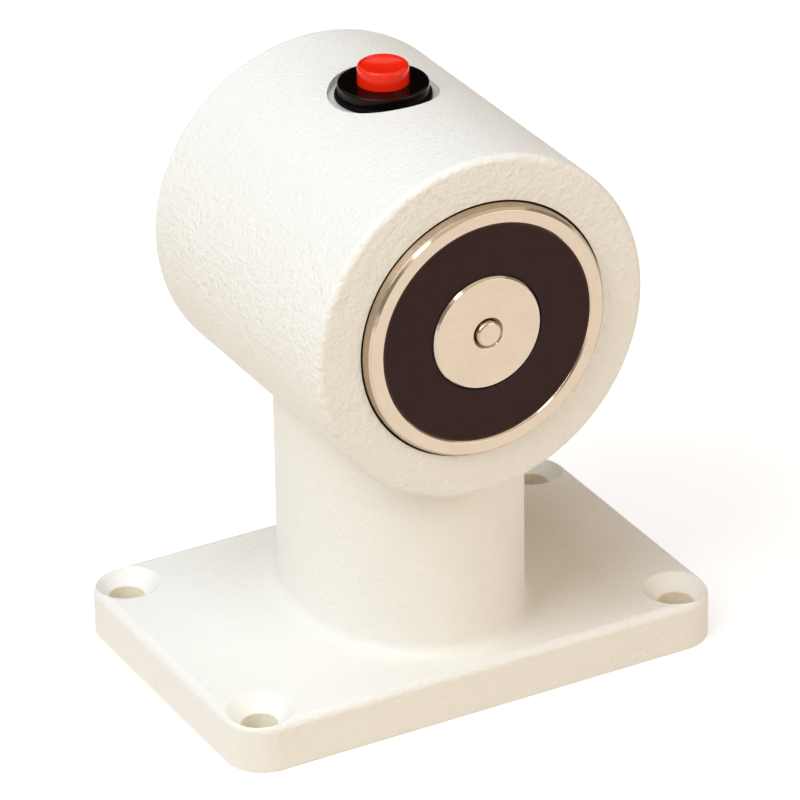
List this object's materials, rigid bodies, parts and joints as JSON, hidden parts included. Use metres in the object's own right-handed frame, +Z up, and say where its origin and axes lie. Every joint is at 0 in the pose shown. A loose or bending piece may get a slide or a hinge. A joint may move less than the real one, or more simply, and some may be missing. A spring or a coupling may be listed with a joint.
{
  "type": "electromagnetic door holder",
  "caption": "Floor-mounted electromagnetic door holder: round pot magnet with sprung ejector pin in a barrel on an oval post and bolted base plate, with a push-button release on top.",
  "frame": {"origin": "centre of the base plate's underside, which is also the centre of the four floor holes", "axes": "+Z up from the floor, the magnet faces -Y, +X to the right when looking at the magnet"},
  "size_m": [0.1036, 0.0695, 0.1181],
  "materials": {
    "white_powder_coat": "matte",
    "nickel_plate": "satin",
    "ivory_plastic": "matte",
    "copper_wire": "satin",
    "dark_resin": "satin",
    "black_rubber": "matte",
    "zinc_steel": "satin",
    "brass": "satin",
    "black_gloss_plastic": "gloss",
    "red_gloss_plastic": "gloss",
    "green_board": "satin",
    "red_insulation": "satin",
    "black_insulation": "satin"
  },
  "bodies": {
    "holder": {"housing": "white_powder_coat", "magnet_pot": "nickel_plate", "pole_core": "nickel_plate", "coil_bobbin": "ivory_plastic", "coil_winding": "copper_wire", "potting_resin": "dark_resin", "lead_grommet": "black_rubber", "ejector_spring": "zinc_steel", "ejector_bush": "brass", "magnet_screw": "zinc_steel", "magnet_screw_washer": "zinc_steel", "button_bezel": "black_gloss_plastic", "button_seal": "black_rubber", "button_lock_washer": "zinc_steel", "button_nut": "zinc_steel", "button_spring": "zinc_steel", "switch_base": "black_gloss_plastic", "switch_terminals": "brass", "circuit_board": "green_board", "board_screws": "zinc_steel", "terminal_block": "ivory_plastic", "terminal_clamps": "brass", "terminal_screws": "zinc_steel", "suppression_diode": "black_gloss_plastic", "supply_lead": "red_insulation", "link_lead": "red_insulation", "return_lead": "black_insulation"},
    "release_button": {"button_cap": "red_gloss_plastic", "button_plunger": "ivory_plastic", "contact_bridge": "brass"},
    "ejector": {"ejector_pin": "nickel_plate"}
  },
  "joints": [
    {"name": "button_press", "type": "slide", "parent": "holder", "child": "release_button", "axis": [0, 0, -1], "range_m": [0, 0.002], "stiffness_N_per_m": 600, "springref_m": -0.003, "deforming": ["button_spring"]},
    {"name": "ejector_slide", "type": "slide", "parent": "holder", "child": "ejector", "axis": [0, 1, 0], "range_m": [0, 0.0015], "stiffness_N_per_m": 1500, "springref_m": -0.003, "deforming": ["ejector_spring"]}
  ]
}
